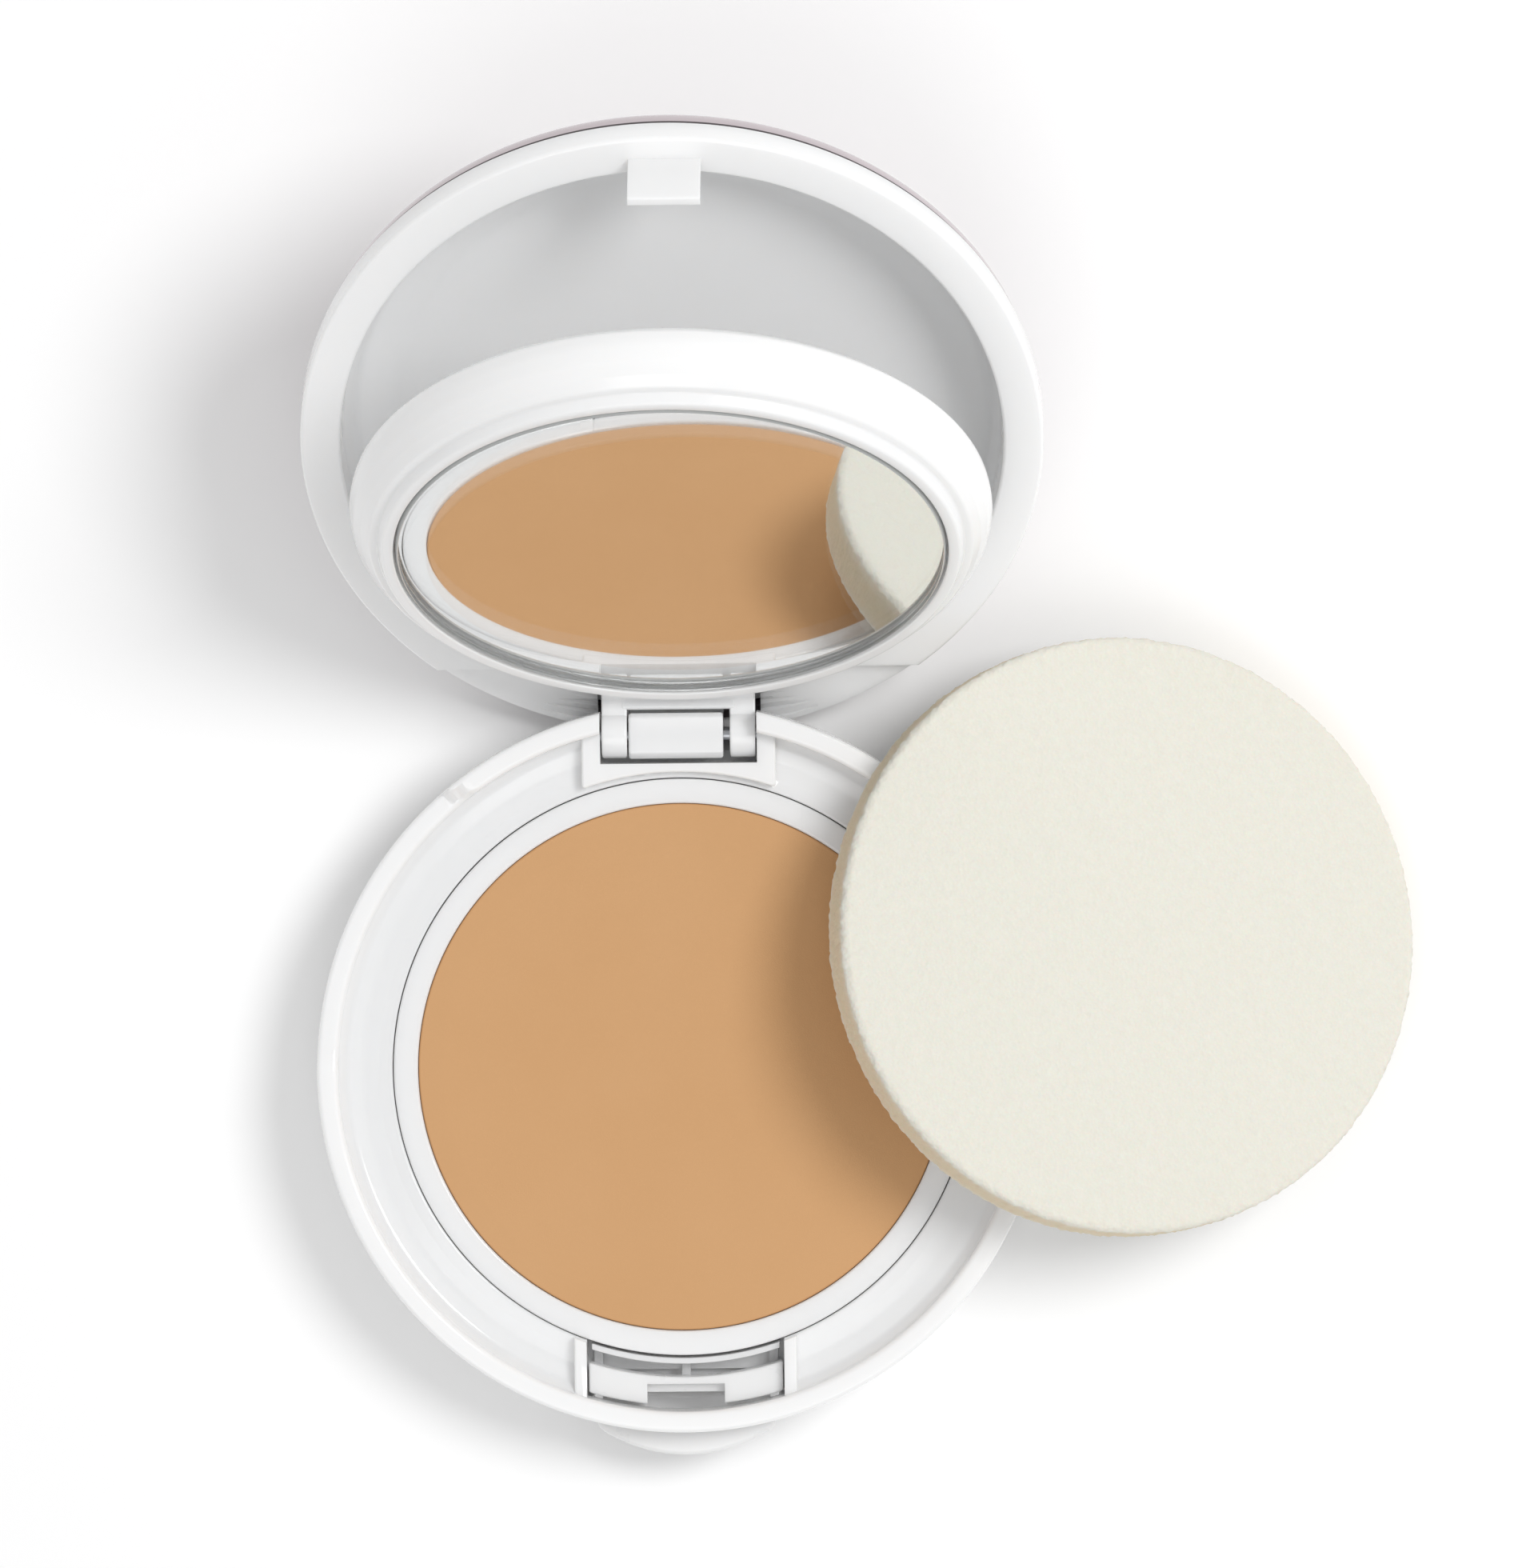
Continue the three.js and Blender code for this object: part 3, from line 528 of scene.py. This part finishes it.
# Centre knuckle, flat on top when the lid is open, and the arm to the lid's wall.
def makeArm():
    turn, back, height = math.radians(case["lidOpen"]), case["pinBack"], case["pinZ"]
    lying = [(-2.4, -0.8), (-2.4, 0.8), (-1.75, 1.65), (1.9, 1.65), (2.35, 0.7), (2.2, -1.1), (0.9, -2.3),
             (-1.2, -2.1)]
    shut = [(back + y * math.cos(turn) - z * math.sin(turn),
             height + y * math.sin(turn) + z * math.cos(turn), 0.3) for y, z in lying]
    knuckle = extruded("knuckle", shut, arms["reach"], "X", 0.3)
    plane = case["lidPlane"]
    arm = extruded("arm", [(back - 0.2, height + 1), (back + 2.3, height), (back + 2.3, plane + 2.7),
                           (back + 1.2, plane + 3.7), (back - 0.2, plane + 4.3)], arms["reach"], "X", 0.2)
    return combine(knuckle, arm, "UNION")


# Catch hook with a small nose on its inner face, rooted in the lid's rim.
def makeHook():
    tip, face, root = hook["tip"], hook["face"], case["lidPlane"] + 0.6
    outer, nose = face - hook["thick"], face + 0.35
    return extruded("hook", [(outer, root), (outer, tip, 0.25), (face, tip, 0.1), (nose, tip + 0.5, 0.1),
                             (nose, tip + 1.1, 0.1), (face, tip + 1.2), (face, root)],
                    (-hook["half"], hook["half"]), "X", 0.15)


makeCover()
makeLid()

print("flap")
flap = dict(face=10.5, radius=32.65, depth=7.5, shift=0.6, mirror=27.85, glass=1.8, silver=27.7,
            silverLow=12.4, silverHigh=12.55)


def makeFlap():
    r, face = flap["radius"], flap["face"]
    back = face + flap["depth"]
    made = spun("flap_moulding", [
        (0, face + 2.7), (28.1, face + 2.7, 0.1), (28.1, face, 0.2), (29.3, face, 0.35),
        (29.75, face + 1.15, 0.3), (30.55, face + 1.2, 0.5), (31.4, face + 2.2, 1.5), (32.2, face + 3.4, 2.0),
        (r, face + 5.2, 2.5), (r - 0.25, face + 6.6, 1.5), (r - 1.1, back, 0.6), (r - 2.0, back, 0.4),
        (r - 2.15, face + 5.0, 1.2), (r - 4.4, face + 3.9, 1.5), (0, face + 3.9)], 360, flap["shift"])
    combine(made, makeEars(), "UNION")
    combine(made, pinHole())
    return finished(made, "flap", ["flap_frame"], whitePlastic, 0.15, case["flapOpen"])


# Two ears round the pin and the plate that joins them to the flap's edge.
def makeEars():
    back, height, half = case["pinBack"], case["pinZ"], arms["plateHalf"]
    neck = [(-5.0, 2.9), (-2.6, 2.8), (-1.9, 1.2), (2.2, 0.5), (0.9, 2.2), (-1.6, 6.1), (-3.4, 6.1)]
    plate = [(-4.9, 2.9), (-2.6, 2.8), (-2.45, 1.95), (-1.95, 1.9), (-1.75, 2.3), (-2.6, 4.7), (-4.2, 4.7)]
    made = extruded("plate", [(back + y, height + z) for y, z in plate], (-half, half), "X", 0.15)
    circle = [(back + arms["earRadius"] * math.cos(math.radians(a)),
               height + arms["earRadius"] * math.sin(math.radians(a))) for a in range(0, 360, 6)]
    for x in ((-arms["earOuter"], -arms["earInner"]), (arms["earInner"], arms["earOuter"])):
        ear = combine(extruded("neck", [(back + y, height + z) for y, z in neck], x, "X", 0.2),
                      extruded("ear", circle, x, "X", 0.25), "UNION")
        combine(made, ear, "UNION")
    return made


# Disc with a narrow ground edge; only the edge is frosted.
def makeGlass():
    r, face, thick, grind = flap["mirror"], flap["face"], flap["glass"], 0.25
    made = spun("mirror_pane", [
        (0, face + 0.05), (r - grind, face + 0.05), (r, face + 0.3), (r, face + thick - grind),
        (r - grind, face + thick), (0, face + thick)], 360, flap["shift"])
    finished(made, "flap", ["mirror_glass"], glass, 0, case["flapOpen"], False)
    made.data.materials.append(groundGlass)
    pin = Vector((0, case["pinBack"], case["pinZ"])) * mm
    normal = Matrix.Rotation(-math.radians(case["flapOpen"]), 3, "X") @ Vector((0, 0, 1))
    for side in made.data.polygons:
        flat = abs(side.normal.dot(normal)) > 0.98
        side.material_index = 0 if flat else 1
        side.use_smooth = not flat
    return made


makeFlap()
makeGlass()
backing = spun("mirror_backing", [
    (0, flap["silverLow"]), (flap["silver"], flap["silverLow"]), (flap["silver"], flap["silverHigh"]),
    (0, flap["silverHigh"])], 360, flap["shift"])
finished(backing, "flap", ["mirror_silver"], silver, 0, case["flapOpen"], False)

print("sponge")
puff = dict(radius=31.0, thick=5.6, edge=1.3, heading=30.0, across=-11.4, along=46.4, lean=0.65, relief=0.06,
            fray=0.16, cell=0.5, faceCell=2.6, ring=0.75)


# Foam disc that leans from the table over the rim, its worn edge rougher than its faces.
def makeSponge():
    half, r = puff["thick"] / 2, puff["radius"]
    tilt = 0.2
    for _ in range(20):
        far = puff["along"] + r * math.cos(tilt) - half * math.sin(tilt)
        tilt = math.atan2(case["height"] - rim["dip"] + puff["lean"], far - case["radius"])
    rings = [i * puff["ring"] for i in range(int((r - puff["edge"]) / puff["ring"]))]
    sides = [(r, -half + puff["edge"] + (puff["thick"] - 2 * puff["edge"]) * k / 8) for k in range(1, 8)]
    made = spun("sponge_puff", [*[(x, -half) for x in rings], (r, -half, puff["edge"]), *sides,
                                (r, half, puff["edge"]), *[(x, half) for x in rings[::-1]]], 640)
    # Mask for the darker tan tint on the side wall, below the rounded edges.
    grain = made.data.attributes.new("sideTint", "FLOAT", "POINT")
    for i, dot in enumerate(made.data.vertices):
        out = math.hypot(dot.co.x, dot.co.y) / mm
        grain.data[i].value = ease((out - r + 1.0) / 0.5) * ease((half - 0.45 - abs(dot.co.z) / mm) / 0.6)
    made.data.update()
    normals = [dot.normal.copy() for dot in made.data.vertices]
    for dot, normal in zip(made.data.vertices, normals):
        share = ease((math.hypot(dot.co.x, dot.co.y) / mm - r + 1.6) / 1.2)
        worn = dot.co / (puff["cell"] * mm)
        uneven = noise.noise(dot.co / (puff["faceCell"] * mm)) * puff["relief"] * (1 - share)
        lift = uneven + (noise.noise(worn) + 0.5 * noise.noise(worn * 2.3)) * puff["fray"] * share
        dot.co += normal * lift * mm
    place = Vector((puff["along"], puff["across"],
                    (far - puff["along"]) * math.tan(tilt) + half / math.cos(tilt) + puff["lean"] / 2)) * mm
    made.data.transform(Matrix.Rotation(math.radians(puff["heading"]), 4, "Z") @ Matrix.Translation(place)
                        @ Matrix.Rotation(tilt, 4, "Y"))
    finished(made, "sponge", ["sponge"], foam)
    return made


makeSponge()

# The pan and both tapes are hidden, so their plain solids stay and only take a material.
for node, material in (("makeup_pan", aluminium), ("pan_adhesive", foamTape), ("mirror_tape", foamTape)):
    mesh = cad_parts[node].data
    mesh.materials.clear()
    mesh.materials.append(material)

print("studio")
studio = dict(sky=0.62, aim=(0, 0.03, 0),
              key=dict(place=(0.5, 0.28, 0.85), size=0.4, power=4.7),
              fill=dict(place=(-0.1, -0.65, 1.4), size=0.9, power=3.0))
view = dict(lens=224.08, place=(0.02124, 0.07671, 1.02383), turn=(-2.676, 0.713, -0.608))
bpy.ops.mesh.primitive_plane_add(size=4)
floor = bpy.context.object
floor.name = "floor"
paper, _, _ = newMaterial("paper_backdrop", Base_Color=linear("FAFAFA"), Roughness=0.9)
floor.data.materials.append(paper)

world = bpy.data.worlds.new("studio")
world.use_nodes = True
world.node_tree.nodes["Background"].inputs["Color"].default_value = (1, 1, 1, 1)
world.node_tree.nodes["Background"].inputs["Strength"].default_value = studio["sky"]
bpy.context.scene.world = world
bpy.context.scene.view_settings.view_transform = "Standard"

for name in ("key", "fill"):
    box = studio[name]
    data = bpy.data.lights.new(name, "AREA")
    data.shape = "DISK"
    data.size = box["size"]
    data.energy = box["power"]
    lamp = bpy.data.objects.new(name, data)
    bpy.context.scene.collection.objects.link(lamp)
    lamp.location = box["place"]
    lamp.rotation_euler = (Vector(box["place"]) - Vector(studio["aim"])).to_track_quat("Z", "Y").to_euler()

camera = bpy.data.objects.new("camera", bpy.data.cameras.new("camera"))
bpy.context.scene.collection.objects.link(camera)
camera.data.sensor_fit = "AUTO"
camera.data.sensor_width = 36
camera.data.lens = view["lens"]
camera.data.clip_start, camera.data.clip_end = 0.05, 10
camera.location = view["place"]
camera.rotation_mode = "YXZ"
camera.rotation_euler = [math.radians(degrees) for degrees in view["turn"]]
bpy.context.scene.camera = camera
